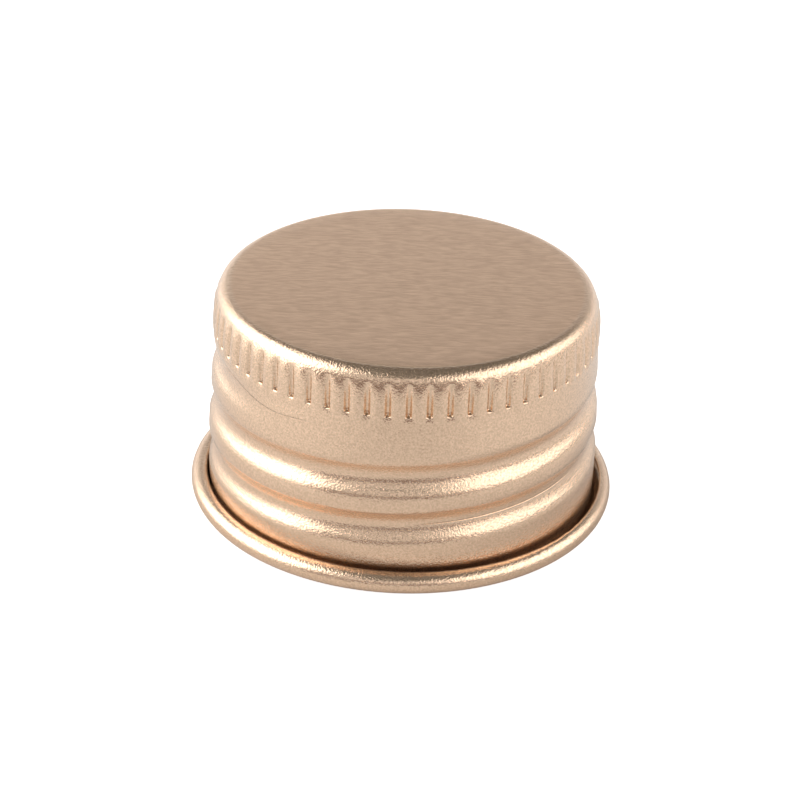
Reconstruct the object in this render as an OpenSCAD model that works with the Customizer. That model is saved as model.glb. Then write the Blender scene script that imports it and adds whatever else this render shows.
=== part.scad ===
// Screw cap drawn from one disc of thin aluminium sheet, with a foam sealing disc under its top.
// The cap stands on its curled rim. The origin is at the middle of the rim's lowest plane, +Z up.

/* [Cup] */
// Outside diameter of the fluted band, where the wall stands upright
band_d = 24; // [22:0.5:27]
// Height from the bottom of the curled rim to the top panel
cap_h = 14.3; // [13.3:0.1:18]
// Thickness of the sheet
sheet_t = 0.25; // [0.2:0.01:0.3]
// Radius of the drawn corner round the top panel
corner_r = 0.5; // [0.35:0.05:0.6]
// How far the wall leans in from the band's foot up to the corner, along a long arc
lean_in = 0.35; // [0.2:0.05:0.4]
// Height of that long arc
lean_h = 2.85; // [2.4:0.05:3]

/* [Flutes] */
// Number of flutes pressed into the band
flute_n = 61; // [48:1:66]
// Radius of the round bottom of each flute
flute_r = 0.24; // [0.2:0.01:0.28]
// Depth that each flute is pressed in below the band
flute_depth = 0.3; // [0.2:0.01:0.34]
// Distance from the top panel down to the sharp feet of the flutes
flute_drop = 2.85; // [2.6:0.05:3.2]

/* [Thread] */
// Climb of the thread in one turn
thread_pitch = 3.175; // [2.8:0.005:3.4]
// Number of turns that the rolled groove makes, with its run-in and run-out
thread_turns = 2.3; // [1.5:0.05:2.4]
// Depth that the groove is rolled in below the wall
groove_depth = 0.5; // [0.3:0.05:0.6]
// Width of the groove across its rounded shoulders
groove_w = 2.2; // [1.8:0.1:2.6]
// Softness of the groove's shoulders: near 1 they are sharp, at 2 they are wide and soft
groove_soft = 1.3; // [1.1:0.1:2]
// Direction in which the groove's upper end lies, seen from above
thread_start = 235; // [0:5:355]
// Distance down to the middle of the groove's upper end, from the plain wall under the flutes
start_drop = 0.8; // [0.6:0.05:1.1]
// Turn over which the groove deepens from nothing at its upper end
run_in = 45; // [20:5:90]
// Turn over which the groove fades away at its lower end
run_out = 65; // [20:5:90]
// Height of plain wall kept between the flutes' feet and the thread
plain_h = 0.45; // [0.3:0.05:0.8]

/* [Rim] */
// Outside diameter of the plain skirt under the thread
skirt_d = 24.66; // [24.2:0.02:25.2]
// Height of the plain skirt between the curl and the thread
skirt_h = 1.3; // [1:0.1:1.6]
// Height over which the wall widens from the fluted band to the skirt's diameter
flare_h = 6.4; // [5:0.2:7.6]
// Outside diameter of the curled rim
curl_d = 26.95; // [26.6:0.05:28.5]
// Squash of the rolled curl: its short way across as a share of its long way
curl_squash = 0.68; // [0.62:0.02:1]
// Slope of the curl's long way, downwards and outwards
curl_tilt = 36; // [0:1:42]
// Turn of the sheet round the curl, from the skirt to its cut edge
curl_turn = 275; // [260:1:278]

/* [Sealing disc] */
// Thickness of the foam disc
liner_t = 1.2; // [0.8:0.1:1.5]
// Gap all round between the foam disc and the flat of the top panel
liner_gap = 0.05; // [0:0.05:0.5]

/* [Hidden] */
$fn = 96;
// Columns and rows of the threaded wall's grid
wall_cols = 60;
wall_rows = 32;
// How far the threaded wall's two ends are tucked in between the faces of the plain walls they meet
tuck = 0.04;
// Steps along the lean, along the drawn corner and round the curl
lean_steps = 4;
corner_steps = 6;
curl_steps = 28;
band_r = band_d / 2;
skirt_r = skirt_d / 2;
curl_r = curl_d / 2;
// The wall's lean is an arc that leaves the band upright, and the corner's arc goes on from it
lean_r = (lean_in * lean_in + lean_h * lean_h) / (2 * lean_in);
lean_angle = asin(lean_h / lean_r);
lean_top = cap_h - corner_r * (1 - sin(lean_angle));
flat_r = band_r - lean_in - corner_r * cos(lean_angle);
// The curl is a squashed roll between the skirt's inside and the rim's outside diameter.
// roll_a and roll_b are half its long and its short way across.
roll_w = (curl_r - (skirt_r - sheet_t)) / 2;
roll_a = roll_w / sqrt(pow(cos(curl_tilt), 2) + pow(curl_squash * sin(curl_tilt), 2));
roll_b = roll_a * curl_squash;
roll_h = sqrt(pow(roll_a * sin(curl_tilt), 2) + pow(roll_b * cos(curl_tilt), 2));
skirt_z0 = curl_point(180, 0)[1];
// The threaded wall reaches from the skirt up to the plain wall under the flutes
flute_foot = cap_h - flute_drop;
thread_z0 = skirt_z0 + skirt_h;
thread_z1 = flute_foot - plain_h;
groove_top = thread_z1 - start_drop;
// Height over which the groove blends into the plain walls above and below the thread
blend_h = 0.55;
liner_r = flat_r - liner_gap;
liner_z = cap_h - sheet_t - liner_t;
alu = [0.79, 0.68, 0.58];
foam = [0.93, 0.92, 0.88];

// Smooth step from 0 to 1 as x goes from a to b
function ease(x, a, b) =
    let (u = max(0, min(1, (x - a) / (b - a))))
    u * u * (3 - 2 * u);

// Section of the groove that the roller leaves: 1 in its middle, 0 past half its width
function groove_shape(dz) =
    pow(max(0, 1 - pow(2 * dz / groove_w, 2)), groove_soft);

// Depth of the groove at one place, from the pass of the helix that lies turn degrees below its top
function pass_depth(turn, z) =
    let (end = 360 * thread_turns)
    turn < 0 || turn > end ? 0 :
    groove_depth
        * groove_shape(z - groove_top + thread_pitch * turn / 360)
        * ease(turn, 0, run_in)
        * ease(end - turn, 0, run_out);

// Depth of the thread below the wall at an angle and a height
function thread_depth(angle, z) =
    let (turn = (thread_start - angle + 720) % 360)
    max([for (k = [0 : ceil(thread_turns)]) pass_depth(turn + 360 * k, z)])
        * ease(thread_z1 - z, 0, blend_h)
        * ease(z - thread_z0, 0, blend_h);

// The wall widens evenly from the fluted band down to the skirt's diameter
function wall_r(z) =
    band_r + (skirt_r - band_r) * min(1, (thread_z1 - z) / flare_h);

// One corner of the threaded wall's grid, on its outside (side = 0) or its inside (side = 1)
function wall_point(col, row, side) =
    let (
        angle = 360 * col / wall_cols,
        z = thread_z0 + (thread_z1 - thread_z0) * row / wall_rows,
        end_tuck = row == 0 || row == wall_rows ? tuck : 0,
        inset = side == 0 ? end_tuck : sheet_t - end_tuck,
        r = wall_r(z) - thread_depth(angle, z) - inset
    )
    [r * cos(angle), r * sin(angle), z];

// Threaded stretch of the wall: the same rolled form outside and inside, one sheet apart
module threaded_wall() {
    per_skin = wall_cols * (wall_rows + 1);
    points = [
        for (side = [0, 1], row = [0 : wall_rows], col = [0 : wall_cols - 1])
            wall_point(col, row, side)
    ];
    outer = function (col, row) row * wall_cols + col % wall_cols;
    inner = function (col, row) per_skin + outer(col, row);
    skins = [
        for (row = [0 : wall_rows - 1], col = [0 : wall_cols - 1]) each [
            [outer(col, row), outer(col, row + 1), outer(col + 1, row + 1)],
            [outer(col, row), outer(col + 1, row + 1), outer(col + 1, row)],
            [inner(col, row), inner(col + 1, row + 1), inner(col, row + 1)],
            [inner(col, row), inner(col + 1, row), inner(col + 1, row + 1)]
        ]
    ];
    ends = [
        for (col = [0 : wall_cols - 1]) each [
            [outer(col, 0), outer(col + 1, 0), inner(col + 1, 0), inner(col, 0)],
            [outer(col, wall_rows), inner(col, wall_rows),
             inner(col + 1, wall_rows), outer(col + 1, wall_rows)]
        ]
    ];
    polyhedron(points = points, faces = concat(skins, ends), convexity = 6);
}

// Outline of the drawn cup's upper half, moved inwards by inset: band, lean, corner and top panel
function cup_outline(inset) = concat(
    [[0, thread_z1], [band_r - inset, thread_z1]],
    [
        for (step = [0 : lean_steps])
            let (
                a = lean_angle * step / lean_steps,
                z = lean_top - lean_h + (lean_r - inset) * sin(a)
            )
            if (z > thread_z1) [band_r - lean_r + (lean_r - inset) * cos(a), z]
    ],
    [
        for (step = [1 : corner_steps])
            let (a = lean_angle + (90 - lean_angle) * step / corner_steps)
            [
                flat_r + (corner_r - inset) * cos(a),
                cap_h - corner_r + (corner_r - inset) * sin(a)
            ]
    ],
    [[0, cap_h - inset]]
);

// The cup as a solid, moved inwards by inset. Each flute is a round rod taken out of its side.
module fluted_cup(inset) {
    rod_r = flute_r + inset;
    rod_at = band_r - flute_depth + flute_r;
    difference() {
        rotate_extrude() polygon(cup_outline(inset));
        for (k = [0 : flute_n - 1])
            rotate([0, 0, 360 * k / flute_n])
                translate([rod_at, 0, flute_foot - inset])
                    cylinder(r = rod_r, h = cap_h);
    }
}

// Upper stretch of the sheet: the fluted form outside and inside, one sheet apart
module fluted_top() {
    difference() {
        fluted_cup(0);
        fluted_cup(sheet_t);
    }
}

// Point of the squashed roll whose surface looks in direction a, moved into the sheet by inset
function curl_point(a, inset) =
    let (
        b = a + curl_tilt,
        reach = sqrt(pow(roll_a * cos(b), 2) + pow(roll_b * sin(b), 2)),
        long = roll_a * roll_a * cos(b) / reach,
        short = roll_b * roll_b * sin(b) / reach
    )
    [
        curl_r - roll_w + long * cos(curl_tilt) + short * sin(curl_tilt) - inset * cos(a),
        roll_h - long * sin(curl_tilt) + short * cos(curl_tilt) - inset * sin(a)
    ];

// Section of the curl: down the wall, out, up and back in to the cut edge
function curl_arc(inset) = [
    for (step = [0 : curl_steps])
        curl_point(180 + curl_turn * step / curl_steps, inset)
];

function reversed(list) = [for (i = [len(list) - 1 : -1 : 0]) list[i]];

module skirt_and_curl() {
    rotate_extrude()
        polygon(concat(
            [[skirt_r - sheet_t, thread_z0]],
            curl_arc(0),
            reversed(curl_arc(sheet_t)),
            [[skirt_r, thread_z0]]
        ));
}

module cap_shell() {
    color(alu)
        union() {
            fluted_top();
            threaded_wall();
            skirt_and_curl();
        }
}

// Foam disc that seals on the bottle's lip, seated against the underside of the top panel
module sealing_liner() {
    color(foam)
        translate([0, 0, liner_z])
            cylinder(r = liner_r, h = liner_t);
}

cap_shell();
sealing_liner();
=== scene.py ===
# A small screw cap of champagne aluminium, standing on its curled rim on a white table.
# Everything is in metres, round the cap's own axis, which is the frame's Z axis.
import math

import bmesh
import bpy
from mathutils import Matrix, Vector, noise


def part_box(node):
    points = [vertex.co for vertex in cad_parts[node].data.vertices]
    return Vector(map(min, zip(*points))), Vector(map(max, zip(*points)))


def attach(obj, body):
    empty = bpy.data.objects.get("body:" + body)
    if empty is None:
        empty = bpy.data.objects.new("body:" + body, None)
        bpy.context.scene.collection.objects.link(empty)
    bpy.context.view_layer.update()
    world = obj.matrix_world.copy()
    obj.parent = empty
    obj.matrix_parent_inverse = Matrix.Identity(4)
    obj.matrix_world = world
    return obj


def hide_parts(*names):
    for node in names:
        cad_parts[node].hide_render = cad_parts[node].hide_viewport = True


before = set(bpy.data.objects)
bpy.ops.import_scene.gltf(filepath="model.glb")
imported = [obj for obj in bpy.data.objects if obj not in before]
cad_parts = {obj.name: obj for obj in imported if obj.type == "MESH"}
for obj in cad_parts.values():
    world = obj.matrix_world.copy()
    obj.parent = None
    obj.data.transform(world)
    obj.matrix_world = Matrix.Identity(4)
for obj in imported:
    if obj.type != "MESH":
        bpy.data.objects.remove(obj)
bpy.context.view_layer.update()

MM = 0.001


# Shell
# One disc of 0.25 mm aluminium sheet, drawn to a cup with a small corner round its flat top.
# A toothed wheel presses the fluted band under the corner, a roller turns the thread into the
# wall, and the lower edge is curled outwards into the rim that the cap stands on.
shell_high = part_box("cap_shell")[1]
CAP_H = shell_high[2]
CURL_R = shell_high[0]
SHEET = 0.25 * MM
BAND_R = 12.0 * MM
# The wall's lean up to the corner has an even part and a part that comes in only near the corner
LEAN_SOFT = 0.2 * MM
LEAN_SHARP = 0.1 * MM
LEAN_H = 1.95 * MM
CORNER_R = 0.83 * MM
SKIRT_R = 12.33 * MM
SKIRT_H = 1.45 * MM
FLARE_H = 6.4 * MM

FLUTES = 61
FLUTE_DEPTH = 0.23 * MM
FLUTE_DEPTH_TOP = 0.19 * MM
FLUTE_FOOT = CAP_H - 2.85 * MM
FLUTE_TOP = 13.72 * MM
SOFT_EDGE = 0.03 * MM
# The tooth that presses a flute: half of its flat nose, its rounded flank and its rounded foot,
# which ends in a ball whose middle stands BALL_UP above the flute's foot
TOOTH_NOSE = 0.05 * MM
TOOTH_FLANK = 0.135 * MM
TOOTH_FOOT = 0.11 * MM
BALL_UP = 0.1 * MM
BALL_R = 0.12 * MM
BALL_DEPTH = 0.025 * MM
# On the inside of the sheet a flute is a rib, narrower and shorter than the flute outside
RIB_NARROWER = 0.6 * SHEET
RIB_SHORTER = 0.8 * SHEET
LAND_BULGE = 0.05 * MM
LAND_EDGE = 0.14 * MM
FLUTE_FADE = 0.3 * MM
LAND_FADE = 0.5 * MM

PITCH = 3.175 * MM
THREAD_TURNS = 2.3
THREAD_START = 235.0
RUN_IN = 45.0
RUN_OUT = 65.0
GROOVE_DEPTH = 0.5 * MM
GROOVE_W = 2.2 * MM
GROOVE_FULL = 1.3
THREAD_TOP = FLUTE_FOOT - 0.45 * MM
GROOVE_TOP = THREAD_TOP - 0.8 * MM
BLEND_H = 0.55 * MM

# The curl is a roll, squashed a little in height. It is turned in further on the left than on the
# right, where the gap between its cut edge and the skirt is wider. The next four values are in
# degrees, and RAGS is how many waves of the lip lie in one radius of the cap.
CURL_SQUASH = 0.97
CURL_TURN = 266.0
TURNED_FURTHER = 38.0
WIDEST_AT = 325.0
LIP_RAGGED = 3.0
RAGS = 35.0
ROLL_WIDE = (CURL_R - (SKIRT_R - SHEET)) / 2
ROLL_HIGH = ROLL_WIDE * CURL_SQUASH
ROLL_MID = (CURL_R - ROLL_WIDE, ROLL_HIGH)

# Columns of the mesh in one flute: how far each stands from the flute's middle, round the band
HALF_PITCH = math.pi * BAND_R / FLUTES
RIGHT_COLUMNS = [0.08 * MM, 0.15 * MM, 0.205 * MM, 0.255 * MM, 0.36 * MM]
COLUMNS = (
    [0.0] + RIGHT_COLUMNS + [HALF_PITCH]
    + [2 * HALF_PITCH - place for place in reversed(RIGHT_COLUMNS)]
)
STEPS = FLUTES * len(COLUMNS)


def ease(x, a, b):
    """Smooth step from 0 to 1 as x goes from a to b."""
    u = min(1.0, max(0.0, (x - a) / (b - a)))
    return u * u * (3 - 2 * u)


def line(start, end, count):
    """Points from start to end of a straight line, the start left out."""
    return [start + (end - start) * (i + 1) / count for i in range(count)]


def arc(middle, radius, start, end, count):
    """Points (r, z) of an arc from start to end in degrees, both ends included."""
    points = []
    for i in range(count + 1):
        a = math.radians(start + (end - start) * i / count)
        points.append((middle[0] + radius * math.cos(a), middle[1] + radius * math.sin(a)))
    return points


def curl(inset, start, end, count):
    """Points (r, z) of the roll where its surface looks from start to end, moved into the sheet."""
    points = []
    for i in range(count + 1):
        a = math.radians(start + (end - start) * i / count)
        wide, high = ROLL_WIDE * math.cos(a), ROLL_HIGH * math.sin(a)
        reach = math.hypot(wide, high)
        points.append((
            ROLL_MID[0] + ROLL_WIDE * wide / reach - inset * math.cos(a),
            ROLL_MID[1] + ROLL_HIGH * high / reach - inset * math.sin(a),
        ))
    return points


THREAD_FOOT = curl(0, 180, 180, 1)[0][1] + SKIRT_H

# The wall leans in more and more from the fluted band up to the corner, which goes on from it
LEAN_ANGLE = math.degrees(math.atan((2 * LEAN_SOFT + 6 * LEAN_SHARP) / LEAN_H))
LEAN_TOP = CAP_H - CORNER_R * (1 - math.sin(math.radians(LEAN_ANGLE)))
LEAN_FOOT = LEAN_TOP - LEAN_H
FLAT_R = BAND_R - LEAN_SOFT - LEAN_SHARP - CORNER_R * math.cos(math.radians(LEAN_ANGLE))


def wall_r(z):
    """Outside of the wall before the thread and the flutes are pressed in, from curl to corner."""
    if z > THREAD_TOP:
        share = max(0.0, z - LEAN_FOOT) / LEAN_H
        return BAND_R - LEAN_SOFT * share ** 2 - LEAN_SHARP * share ** 6
    return BAND_R + (SKIRT_R - BAND_R) * min(1.0, (THREAD_TOP - z) / FLARE_H)


def thread_depth(angle, z):
    """Depth of the rolled groove at an angle in degrees and a height."""
    turn = (THREAD_START - angle + 720) % 360
    last = 360 * THREAD_TURNS
    deepest = 0.0
    for one_pass in range(int(THREAD_TURNS) + 1):
        here = turn + 360 * one_pass
        away = abs(z - GROOVE_TOP + PITCH * here / 360)
        if here < last and away < GROOVE_W / 2:
            shape = (1 - (2 * away / GROOVE_W) ** 2) ** GROOVE_FULL
            faded = shape * ease(here, 0, RUN_IN) * ease(last - here, 0, RUN_OUT)
            deepest = max(deepest, faded)
    ends = ease(THREAD_TOP - z, 0, BLEND_H) * ease(z - THREAD_FOOT, 0, BLEND_H)
    return GROOVE_DEPTH * deepest * ends


def flute_depth(aside, z, inside):
    """Depth of a flute at a distance round the band from its middle, on one side of the sheet.

    The tooth is upright and the wall leans away from it, so the flute ends in an arch under the
    corner. Outside, the land between two flutes bulges.
    """
    if inside:
        aside = max(0.0, aside - RIB_NARROWER)
        z += RIB_SHORTER
    above_ball = z - FLUTE_FOOT - BALL_UP
    nose = max(0.0, aside - TOOTH_NOSE) / TOOTH_FLANK
    foot = max(0.0, -above_ball) / TOOTH_FOOT
    deep = FLUTE_DEPTH + (FLUTE_DEPTH_TOP - FLUTE_DEPTH) * ease(z, FLUTE_FOOT, LEAN_TOP)
    pressed = wall_r(z) - BAND_R + deep * (1 - nose ** 2 - foot ** 2)
    pressed = (pressed + math.hypot(pressed, SOFT_EDGE)) / 2
    ball = (aside ** 2 + above_ball ** 2) / BALL_R ** 2
    pressed += BALL_DEPTH * max(0.0, 1 - ball)
    if not inside:
        fluted = ease(z, FLUTE_FOOT - FLUTE_FADE, FLUTE_FOOT) * ease(FLUTE_TOP - z, 0, LAND_FADE)
        pressed -= LAND_BULGE * (2 * ease(aside, LAND_EDGE, HALF_PITCH) - 1) * fluted
    return pressed * ease(z, FLUTE_FOOT - FLUTE_FADE, FLUTE_FOOT - BALL_UP)


def roll_lip(angle, r, z):
    """Where a point of the curl's upper half comes to lie as the curl is rolled in further."""
    reach = math.hypot(r - ROLL_MID[0], z - ROLL_MID[1])
    rolled = math.atan2(z - ROLL_MID[1], r - ROLL_MID[0])
    narrower = (1 - math.cos(angle - math.radians(WIDEST_AT))) / 2
    ragged = noise.noise((math.cos(angle) * RAGS, math.sin(angle) * RAGS, 0.5))
    further = TURNED_FURTHER * narrower ** 0.75 + LIP_RAGGED * ragged
    rolled *= 1 + further / (CURL_TURN - 180)
    return ROLL_MID[0] + reach * math.cos(rolled), ROLL_MID[1] + reach * math.sin(rolled)


# The section of the sheet, from the middle of the top down its outside to the curl's cut edge,
# and back along its inside. The rows of the fluted band, in millimetres, lie closest together
# where the flutes end.
corner_mid = (FLAT_R, CAP_H - CORNER_R)
flute_rows = [
    13.8, 13.73, 13.68, 13.62, 13.54, 13.44, 13.3, 13.1, 12.8, 12.4, 12.0,
    11.75, 11.66, 11.6, 11.55, 11.5, 11.465, 11.43, 11.39, 11.3, 11.15,
]
rib_rows = [11.15, 11.3, 11.4, 11.7, 12.4, 13.0, 13.4]
thread_rows = line(THREAD_TOP, THREAD_FOOT, 32)
outside = [(0.0, CAP_H)] + [(FLAT_R * share, CAP_H) for share in (0.3, 0.6, 0.9)]
outside += arc(corner_mid, CORNER_R, 90, LEAN_ANGLE, 8)
outside += [(wall_r(z * MM), z * MM) for z in flute_rows]
outside += [(wall_r(z), z) for z in [THREAD_TOP] + thread_rows]
# The sheet's inside face comes out below, round and over as the face of the curl that shows
outside += curl(SHEET, 180, 180 + CURL_TURN, 12)
back = curl(0, 180 + CURL_TURN, 180, 24)
back += [(wall_r(z) - SHEET, z) for z in reversed([THREAD_TOP] + thread_rows[1::2])]
back += [(wall_r(z * MM) - SHEET, z * MM) for z in rib_rows]
back += arc(corner_mid, CORNER_R - SHEET, LEAN_ANGLE, 90, 3)
back += [(FLAT_R * 0.5, CAP_H - SHEET), (0.0, CAP_H - SHEET)]

shell = bmesh.new()
chain = [shell.verts.new((r, 0, z)) for r, z in outside + back]
for lower, upper in zip(chain, chain[1:]):
    shell.edges.new((lower, upper))
ONE_FLUTE = 2 * math.pi / FLUTES
bmesh.ops.spin(
    shell, geom=shell.verts[:] + shell.edges[:], cent=(0, 0, 0), axis=(0, 0, 1),
    angle=ONE_FLUTE, steps=len(COLUMNS),
)
bmesh.ops.spin(
    shell, geom=shell.verts[:] + shell.edges[:] + shell.faces[:], cent=(0, 0, 0),
    axis=(0, 0, 1), angle=ONE_FLUTE * (FLUTES - 1), steps=FLUTES - 1, use_duplicate=True,
)
bmesh.ops.remove_doubles(shell, verts=shell.verts, dist=0.001 * MM)

# The flutes and the thread are pressed into both faces of the sheet. Where the tools bend it most,
# at the corner, on the thread's flanks and round the curl, its surface is roughened. A flank is
# fully roughened where it moves in by FLANK_IN over FLANK_DOWN.
CORNER_WORKED = 0.5
CURL_WORKED = 0.3
FLANK_DOWN = 0.1 * MM
FLANK_IN = 0.06 * MM
worked = shell.verts.layers.float.new("worked")
for vert in shell.verts:
    r, z = math.hypot(vert.co.x, vert.co.y), vert.co.z
    if r < FLAT_R / 2:
        continue
    column = round(math.atan2(vert.co.y, vert.co.x) / (2 * math.pi) * STEPS) % STEPS
    flute, place = divmod(column, len(COLUMNS))
    angle = (COLUMNS[place] + 2 * HALF_PITCH * flute) / BAND_R
    if z > THREAD_TOP:
        vert[worked] = CORNER_WORKED * ease(z, LEAN_TOP - 0.3 * MM, LEAN_TOP + 0.1 * MM)
        if FLUTE_FOOT - 2 * SHEET < z < LEAN_TOP:
            aside = min(COLUMNS[place], 2 * HALF_PITCH - COLUMNS[place])
            r -= flute_depth(aside, z, r < wall_r(z) - SHEET / 2)
    elif z > THREAD_FOOT:
        depth = thread_depth(math.degrees(angle), z)
        steeper = thread_depth(math.degrees(angle), z + FLANK_DOWN) - depth
        vert[worked] = min(1.0, abs(steeper) / FLANK_IN)
        r -= depth
    elif r > SKIRT_R + 0.03 * MM:
        vert[worked] = CURL_WORKED
        if r > ROLL_MID[0] - 0.1 * MM and z > ROLL_MID[1]:
            r, z = roll_lip(angle, r, z)
    vert.co = (r * math.cos(angle), r * math.sin(angle), z)
bmesh.ops.recalc_face_normals(shell, faces=shell.faces)
for face in shell.faces:
    face.smooth = True


def finish_piece(mesh, name, material, node):
    """Makes an object of a finished bmesh, which stands for one CAD node."""
    data = bpy.data.meshes.new(name)
    mesh.to_mesh(data)
    mesh.free()
    data.materials.append(material)
    piece = bpy.data.objects.new(name, data)
    bpy.context.scene.collection.objects.link(piece)
    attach(piece, "root")
    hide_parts(node)


class Nodes:
    """A material's node tree, with short ways to add and join its nodes."""

    def __init__(self, name):
        self.material = bpy.data.materials.new(name)
        self.material.use_nodes = True
        self.tree = self.material.node_tree
        self.shader = self.tree.nodes["Principled BSDF"]

    def add(self, kind, inputs=None, **settings):
        """A node of a kind, with its settings, its input values or the sockets that feed it."""
        node = self.tree.nodes.new(kind)
        for key, value in settings.items():
            setattr(node, key, value)
        for key, value in (inputs or {}).items():
            if isinstance(value, bpy.types.NodeSocket):
                self.tree.links.new(value, node.inputs[key])
            else:
                node.inputs[key].default_value = value
        return node

    def math(self, operation, *values):
        return self.add(
            "ShaderNodeMath", dict(enumerate(values)), operation=operation
        ).outputs[0]

    def span(self, value, low, high, to_low=0.0, to_high=1.0):
        """Value taken from low..high to to_low..to_high, smoothly, and held there."""
        return self.add(
            "ShaderNodeMapRange",
            {0: value, 1: low, 2: high, 3: to_low, 4: to_high},
            interpolation_type="SMOOTHSTEP",
        ).outputs[0]

    def noise(self, vector, scale, detail=2.0, roughness=0.5):
        return self.add(
            "ShaderNodeTexNoise",
            {"Vector": vector, "Scale": scale, "Detail": detail, "Roughness": roughness},
        ).outputs["Fac"]

    def stretched(self, vector, scale):
        return self.add("ShaderNodeMapping", {"Vector": vector, "Scale": scale}).outputs[0]

    def mix(self, share, first, second):
        node = self.add("ShaderNodeMix", data_type="RGBA")
        for socket, value in ((0, share), (6, first), (7, second)):
            if isinstance(value, bpy.types.NodeSocket):
                self.tree.links.new(value, node.inputs[socket])
            else:
                node.inputs[socket].default_value = value
        return node.outputs[2]


TOP_LIGHT = (0.93, 0.64, 0.43, 1)
TOP_DEEP = (0.66, 0.445, 0.29, 1)
SIDE_LIGHT = (0.97, 0.705, 0.5, 1)
SIDE_DEEP = (0.765, 0.54, 0.37, 1)
# Colour of the painted shade in the hollow of the curl
GAP_SHADE = (0.14, 0.105, 0.085, 1)
# How many of each pattern lie in a metre, or in one radius of the cap for those called ROUND,
# and how high it stands
BRUSH_LINES = (1100, 5600, 1100)
SWAY_SCALE = 350.0
SWAY = 0.4 * MM
GRAIN_SCALE = 8500.0
TICKS_ROUND = 100
TICKS_DOWN = 3000
ROLLED_ROUND = 14
ROLLED_DOWN = 8000
BRUSH_HEIGHT = 0.003 * MM
GRAIN_HEIGHT = 0.021 * MM
WORKED_HEIGHT = 0.026 * MM
ROLLED_HEIGHT = 0.004 * MM
CORNER_TICKS = 0.014 * MM
CURL_TICKS = 0.008 * MM
# A crease runs down round the left of the cap and up again. Its angles are in degrees.
CREASE_START = 203
CREASE_LOWEST = 229
CREASE_END = 244
CREASE_START_Z = 10.52 * MM
CREASE_LOWEST_Z = 10.11 * MM
CREASE_RISE = 0.2 * MM
CREASE_HEIGHT = 0.035 * MM
# A score line climbs with the thread round the right of the cap, from its height at 0 degrees
SCORE_START = 272
SCORE_END = 334
SCORE_Z = 1.72 * MM
SCORE_HALF = 0.06 * MM
SCORE_DEPTH = 0.022 * MM
# The painted shade in the curl's gap is full up to the first height below and fades out by the next
# two, on the left and on the right
GAP_SHADE_LOW = 1.2 * MM
GAP_SHADE_LEFT = 2.9 * MM
GAP_SHADE_RIGHT = 1.8 * MM

metal = Nodes("champagne_aluminium")
place = metal.add("ShaderNodeTexCoord").outputs["Object"]
xyz = metal.add("ShaderNodeSeparateXYZ", {0: place})
flat = metal.add("ShaderNodeVectorMath", {0: place, 1: (1, 1, 0)}, operation="MULTIPLY").outputs[0]
radius = metal.add("ShaderNodeVectorMath", {0: flat}, operation="LENGTH").outputs["Value"]
around = metal.add("ShaderNodeVectorMath", {0: flat}, operation="NORMALIZE").outputs[0]

# The flat top keeps the fine wavy brushing of the sheet. The side has a fine grain, coarser where
# the sheet was worked, and short wrinkles run across both bends.
on_top = metal.span(radius, FLAT_R - 0.12 * MM, FLAT_R + 0.03 * MM, 1.0, 0.0)
sway = metal.add("ShaderNodeTexNoise", {"Vector": place, "Scale": SWAY_SCALE, "Detail": 1.0})
swayed = metal.add(
    "ShaderNodeVectorMath",
    {0: place, 1: metal.stretched(sway.outputs["Color"], (0, SWAY, 0))},
    operation="ADD",
).outputs[0]
brushed = metal.noise(metal.stretched(swayed, BRUSH_LINES), 1.0, 3.0, 0.7)
grain = metal.noise(place, GRAIN_SCALE, 1.0, 0.5)
height_only = metal.add("ShaderNodeCombineXYZ", {2: xyz.outputs[2]}).outputs[0]
down_bend = metal.add(
    "ShaderNodeCombineXYZ", {2: metal.math("SUBTRACT", radius, xyz.outputs[2])}
).outputs[0]


def round_the_cap(per_turn, place_down, per_metre):
    """Noise that is drawn round the cap's axis, and down it or down its bends."""
    where = metal.add(
        "ShaderNodeVectorMath",
        {
            0: metal.stretched(around, (per_turn, per_turn, 0)),
            1: metal.stretched(place_down, (0, 0, per_metre)),
        },
        operation="ADD",
    ).outputs[0]
    return metal.noise(where, 1.0, 2.0, 0.5)


ticks = round_the_cap(TICKS_ROUND, down_bend, TICKS_DOWN)
rolled = round_the_cap(ROLLED_ROUND, height_only, ROLLED_DOWN)


def relief(pattern, amount):
    """Height of a pattern above and below the sheet's face."""
    return metal.math("MULTIPLY", metal.math("SUBTRACT", pattern, 0.5), amount)


roughened = metal.add("ShaderNodeAttribute", attribute_name="worked").outputs["Fac"]
at_corner = metal.span(xyz.outputs[2], LEAN_TOP - 0.2 * MM, LEAN_TOP + 0.1 * MM, 0.0, CORNER_TICKS)
at_curl = metal.math(
    "MULTIPLY",
    metal.span(xyz.outputs[2], 1.3 * MM, 1.45 * MM, CURL_TICKS, 0.0),
    metal.span(radius, SKIRT_R + 0.02 * MM, SKIRT_R + 0.06 * MM),
)
# Two marks of the rolling: a crease on the left, where the roller first bit, and a score line on
# the right, on the upper flank of the lower groove
bearing = metal.math("ARCTAN2", xyz.outputs[1], xyz.outputs[0])
angle_round = metal.math("MODULO", metal.math("ADD", bearing, 2 * math.pi), 2 * math.pi)


def span_round(start, end, to_start, to_end):
    """Value that goes from to_start to to_end between two angles round the cap, in degrees."""
    return metal.span(angle_round, math.radians(start), math.radians(end), to_start, to_end)


def between(start, end, soft):
    """1 from start to end round the cap, fading over soft, all in degrees."""
    return metal.math(
        "MULTIPLY",
        span_round(start, start + soft, 0.0, 1.0),
        span_round(end - soft, end, 1.0, 0.0),
    )


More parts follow.
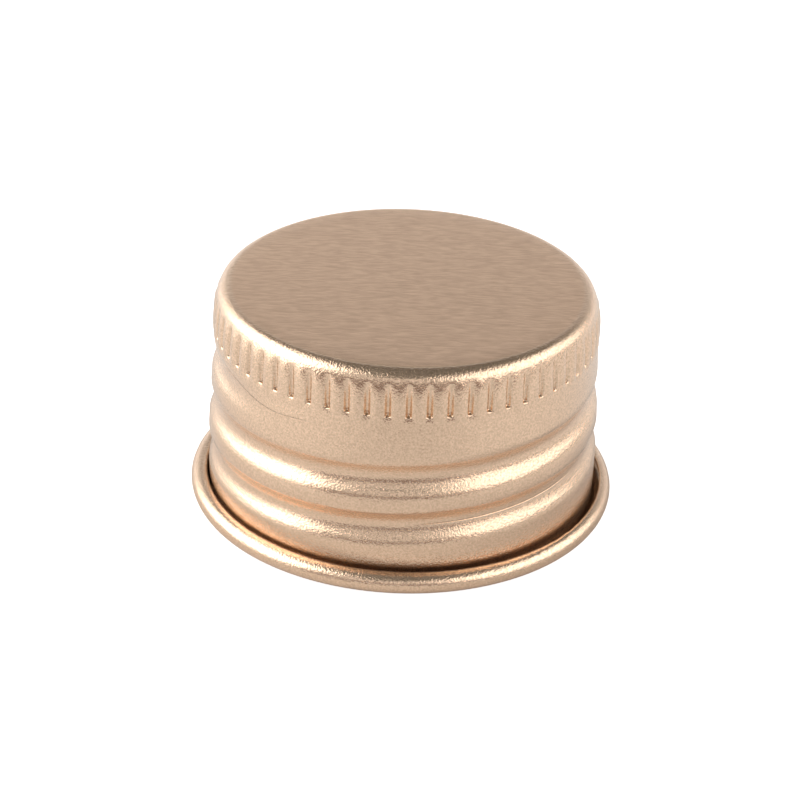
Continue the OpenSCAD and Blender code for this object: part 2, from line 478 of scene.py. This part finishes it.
crease_at = metal.math(
    "ADD",
    span_round(CREASE_START, CREASE_LOWEST, CREASE_START_Z, CREASE_LOWEST_Z),
    span_round(CREASE_LOWEST, CREASE_END, 0.0, CREASE_RISE),
)
above_crease = metal.math("SUBTRACT", xyz.outputs[2], crease_at)
crease = metal.math(
    "MULTIPLY",
    metal.math(
        "SUBTRACT",
        metal.span(above_crease, -0.05 * MM, 0.05 * MM),
        metal.span(above_crease, 0.1 * MM, 0.7 * MM),
    ),
    metal.math("MULTIPLY", between(CREASE_START - 3, CREASE_END + 2, 6), CREASE_HEIGHT),
)
score_at = metal.math("MULTIPLY_ADD", angle_round, PITCH / (2 * math.pi), SCORE_Z)
from_score = metal.math("ABSOLUTE", metal.math("SUBTRACT", xyz.outputs[2], score_at))
score = metal.math(
    "MULTIPLY",
    metal.span(from_score, 0.0, SCORE_HALF, -1.0, 0.0),
    metal.math("MULTIPLY", between(SCORE_START, SCORE_END, 8), SCORE_DEPTH),
)
marks = metal.math("ADD", crease, score)
side_height = metal.math(
    "ADD",
    relief(grain, metal.span(roughened, 0.0, 1.0, GRAIN_HEIGHT, WORKED_HEIGHT)),
    metal.math(
        "ADD",
        relief(ticks, metal.math("ADD", at_corner, at_curl)),
        metal.math("ADD", relief(rolled, ROLLED_HEIGHT), marks),
    ),
)
height = metal.add(
    "ShaderNodeMix",
    {0: on_top, 2: side_height, 3: relief(brushed, BRUSH_HEIGHT)},
    data_type="FLOAT",
).outputs[0]
bump = metal.add("ShaderNodeBump", {"Height": height, "Distance": 1.0, "Strength": 1.0})
metal.tree.links.new(bump.outputs[0], metal.shader.inputs["Normal"])
top_tone = metal.mix(metal.span(brushed, 0.25, 0.75), TOP_LIGHT, TOP_DEEP)
side_tone = metal.mix(metal.span(grain, 0.25, 0.75), SIDE_LIGHT, SIDE_DEEP)
# Painted shade, standing in for the shade of the curl's gap, darkens the hollow of the curl and the
# foot of the skirt beside it, thinner and higher up on the left
gap_shade_top = metal.span(xyz.outputs[0], -9 * MM, 4 * MM, GAP_SHADE_LEFT, GAP_SHADE_RIGHT)
painted_gap_shade = metal.math(
    "MULTIPLY",
    metal.span(xyz.outputs[2], GAP_SHADE_LOW, gap_shade_top, 0.75, 0.0),
    metal.math(
        "MULTIPLY",
        metal.span(radius, SKIRT_R + 0.1 * MM, SKIRT_R + 0.25 * MM, 1.0, 0.0),
        metal.span(xyz.outputs[0], -9 * MM, 4 * MM, 0.6, 1.0),
    ),
)
side_tone = metal.mix(painted_gap_shade, side_tone, GAP_SHADE)
metal.tree.links.new(metal.mix(on_top, side_tone, top_tone), metal.shader.inputs["Base Color"])
metal.shader.inputs["Metallic"].default_value = 1.0
metal.shader.inputs["Roughness"].default_value = 0.27
metal.shader.inputs["Coat Weight"].default_value = 0.5
metal.shader.inputs["Coat Roughness"].default_value = 0.25
metal.shader.inputs["Coat IOR"].default_value = 1.5
finish_piece(shell, "drawn_shell", metal.material, "cap_shell")


# Sealing disc
# A disc punched from closed-cell foam sheet and pushed up under the top, where it seals on the
# bottle's lip. Its lower edge is a little rounded by the punch.
disc_low, disc_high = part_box("sealing_liner")
DISC_EDGE = 0.12 * MM
DISC_SIDES = 128
PORES = 4500.0
PORE_DEPTH = 0.02 * MM
FOAM_WHITE = (0.84, 0.83, 0.79, 1)
disc = bmesh.new()
bmesh.ops.create_circle(disc, cap_ends=True, segments=DISC_SIDES, radius=disc_high[0])
grown = bmesh.ops.extrude_face_region(disc, geom=disc.faces[:])
lifted = [v for v in grown["geom"] if isinstance(v, bmesh.types.BMVert)]
bmesh.ops.translate(disc, verts=lifted, vec=(0, 0, disc_high[2] - disc_low[2]))
bmesh.ops.translate(disc, verts=disc.verts, vec=(0, 0, disc_low[2]))
bmesh.ops.recalc_face_normals(disc, faces=disc.faces)
rim = [e for e in disc.edges if e.calc_length() < 1 * MM and e.verts[0].co.z == e.verts[1].co.z]
bmesh.ops.bevel(
    disc, geom=rim, offset=DISC_EDGE, segments=3, profile=0.5, affect="EDGES", material=-1,
)
for face in disc.faces:
    face.smooth = len(face.verts) == 4

foam = Nodes("closed_cell_foam")
foam_at = foam.add("ShaderNodeTexCoord").outputs["Object"]
pores = foam.add(
    "ShaderNodeTexVoronoi", {"Vector": foam_at, "Scale": PORES}
).outputs["Distance"]
foam_height = foam.math("MULTIPLY", pores, PORE_DEPTH)
foam_bump = foam.add("ShaderNodeBump", {"Height": foam_height, "Distance": 1.0})
foam.tree.links.new(foam_bump.outputs[0], foam.shader.inputs["Normal"])
foam.shader.inputs["Base Color"].default_value = FOAM_WHITE
foam.shader.inputs["Roughness"].default_value = 0.75
finish_piece(disc, "foam_disc", foam.material, "sealing_liner")


# Table and sweep
# White paper lies flat on a table and bends up behind the cap into an upright sheet. It ends a
# little in front of the cap, so that the front of the cap mirrors the darker room there.
TABLE_HALF = 0.7
TABLE_FRONT = -0.095
SWEEP_Y = 0.42
SWEEP_H = 0.3
SWEEP_BEND = 0.1
sweep = bmesh.new()
bmesh.ops.create_grid(sweep, x_segments=1, y_segments=1, size=TABLE_HALF)
for vert in sweep.verts:
    vert.co.y = SWEEP_Y if vert.co.y > 0 else TABLE_FRONT
back_edge = [e for e in sweep.edges if all(v.co.y > 0 for v in e.verts)]
raised = bmesh.ops.extrude_edge_only(sweep, edges=back_edge)
top_verts = [v for v in raised["geom"] if isinstance(v, bmesh.types.BMVert)]
bmesh.ops.translate(sweep, verts=top_verts, vec=(0, 0, SWEEP_H))
bend = [e for e in sweep.edges if all(abs(v.co.y - SWEEP_Y) < MM and v.co.z < MM for v in e.verts)]
bmesh.ops.bevel(
    sweep, geom=bend, offset=SWEEP_BEND, segments=10, profile=0.5, affect="EDGES", material=-1
)
bmesh.ops.recalc_face_normals(sweep, faces=sweep.faces)
for face in sweep.faces:
    face.smooth = True
paper_data = bpy.data.meshes.new("white_paper")
sweep.to_mesh(paper_data)
sweep.free()
table = bpy.data.objects.new("white_paper", paper_data)
bpy.context.scene.collection.objects.link(table)

PAPER_SEEN = 0.86
# Strengths of the painted light that the metal sees in the paper, at the sides, beside the left
# lamp and behind the cap
PAPER_LEFT = 0.16
PAPER_RIGHT = 0.16
PAPER_FAR = 0.3
PAPER_BESIDE_LAMP = 0.5
paper = Nodes("white_paper")
path = paper.add("ShaderNodeLightPath")
paper.shader.inputs["Base Color"].default_value = (0.7, 0.7, 0.7, 1)
paper.shader.inputs["Roughness"].default_value = 0.9
paper.shader.inputs["Specular IOR Level"].default_value = 0.0
# The paper glows with painted light that only the metal's reflections see: brightest at both sides
# of the cap, nearest to the soft boxes, and where it bends up behind the cap
across, along, up = paper.add(
    "ShaderNodeSeparateXYZ", {0: paper.add("ShaderNodeTexCoord").outputs["Object"]}
).outputs
left_light = paper.span(across, -24 * MM, -7 * MM, PAPER_LEFT, 0.0)
right_light = paper.span(across, 10 * MM, 26 * MM, 0.0, PAPER_RIGHT)
lamp_light = paper.span(across, -100 * MM, -45 * MM, PAPER_BESIDE_LAMP, 0.0)
side_light = paper.math(
    "MULTIPLY",
    paper.math("ADD", paper.math("ADD", left_light, lamp_light), right_light),
    paper.span(along, 0.08, 0.16, 1.0, 0.0),
)
far_light = paper.math(
    "MULTIPLY", paper.span(along, 0.04, 0.14), paper.span(up, 0.03, 0.13, PAPER_FAR, 0.0)
)
glow = paper.math(
    "MAXIMUM",
    paper.math("MULTIPLY", path.outputs["Is Camera Ray"], PAPER_SEEN),
    paper.math(
        "MULTIPLY", path.outputs["Is Glossy Ray"], paper.math("ADD", side_light, far_light)
    ),
)
paper.shader.inputs["Emission Color"].default_value = (1, 1, 1, 1)
paper.tree.links.new(glow, paper.shader.inputs["Emission Strength"])
paper_data.materials.append(paper.material)


# Lamps and room
# A large soft box stands on the left and a weaker one on the right, with a faint white card in
# front, in a grey room whose lower part is a little warmer.
LAMP_DISTANCE = 0.6


def soft_box(name, azimuth, elevation, width, height, strength):
    """A soft box that faces the cap from a direction, with its two angles of view in degrees."""
    a, e = math.radians(azimuth), math.radians(elevation)
    towards = Vector((math.cos(e) * math.cos(a), math.cos(e) * math.sin(a), math.sin(e)))
    lamp = bpy.data.lights.new(name, "AREA")
    lamp.shape = "RECTANGLE"
    lamp.size = 2 * LAMP_DISTANCE * math.tan(math.radians(width / 2))
    lamp.size_y = 2 * LAMP_DISTANCE * math.tan(math.radians(height / 2))
    lamp.energy = strength * math.pi * lamp.size * lamp.size_y
    holder = bpy.data.objects.new(name, lamp)
    facing = towards.to_track_quat("Z", "Y").to_matrix().to_4x4()
    holder.matrix_world = Matrix.Translation(towards * LAMP_DISTANCE) @ facing
    holder.visible_camera = False
    bpy.context.scene.collection.objects.link(holder)


soft_box("left_soft_box", 180, 33, 72, 58, 2.7)
soft_box("right_soft_box", 348, 30, 80, 46, 1.75)
soft_box("front_card", 268, 26, 70, 26, 0.6)

# The room turns from its low to its high colour up to about 20 degrees above the horizon, and
# the camera sees white instead of it
ROOM_HIGH = (0.155, 0.155, 0.15, 1)
ROOM_LOW = (0.15, 0.085, 0.075, 1)
ROOM_TURNS_AT = 0.35
world = bpy.data.worlds.new("grey_room")
bpy.context.scene.world = world
world.use_nodes = True
air = world.node_tree
backdrop = air.nodes["Background"]
seen = air.nodes.new("ShaderNodeLightPath")
looking = air.nodes.new("ShaderNodeTexCoord")
heading = air.nodes.new("ShaderNodeSeparateXYZ")
rise = air.nodes.new("ShaderNodeMapRange")
rise.inputs["From Max"].default_value = ROOM_TURNS_AT
room = air.nodes.new("ShaderNodeMix")
room.data_type = "RGBA"
room.inputs[6].default_value = ROOM_LOW
room.inputs[7].default_value = ROOM_HIGH
white = air.nodes.new("ShaderNodeMix")
white.data_type = "RGBA"
white.inputs[7].default_value = (1, 1, 1, 1)
air.links.new(looking.outputs["Generated"], heading.inputs[0])
air.links.new(heading.outputs[2], rise.inputs[0])
air.links.new(rise.outputs[0], room.inputs[0])
air.links.new(seen.outputs["Is Camera Ray"], white.inputs[0])
air.links.new(room.outputs[2], white.inputs[6])
air.links.new(white.outputs[2], backdrop.inputs["Color"])


# Camera
# It stands in front of the cap, a little under 30 degrees above the table, and is turned about
# two degrees on its own axis. The cap's base lies at BASE_AT in a picture of 800 pixels.
PICTURE = 800
SENSOR = 36
ELEVATION = math.radians(29.0)
ROLL = math.radians(2.16)
FOCUS = 2399.0
BASE_AT = (400.5, 481.9)
BASE_DEPTH = 155.295 * MM

forward = Vector((0, math.cos(ELEVATION), -math.sin(ELEVATION)))
level = Vector((1, 0, 0))
down = Vector((0, -math.sin(ELEVATION), -math.cos(ELEVATION)))
right = math.cos(ROLL) * level - math.sin(ROLL) * down
below = math.sin(ROLL) * level + math.cos(ROLL) * down
aside, under = ((at - PICTURE / 2) / FOCUS * BASE_DEPTH for at in BASE_AT)
eye = -(aside * right + under * below + BASE_DEPTH * forward)
camera_data = bpy.data.cameras.new("camera")
camera_data.sensor_width = SENSOR
camera_data.lens = FOCUS / PICTURE * SENSOR
camera_data.clip_start = 0.01
camera = bpy.data.objects.new("camera", camera_data)
turned = Matrix((right, -below, -forward)).transposed()
camera.matrix_world = Matrix.Translation(eye) @ turned.to_4x4()
bpy.context.scene.collection.objects.link(camera)
bpy.context.scene.camera = camera
bpy.context.scene.view_settings.view_transform = "Standard"
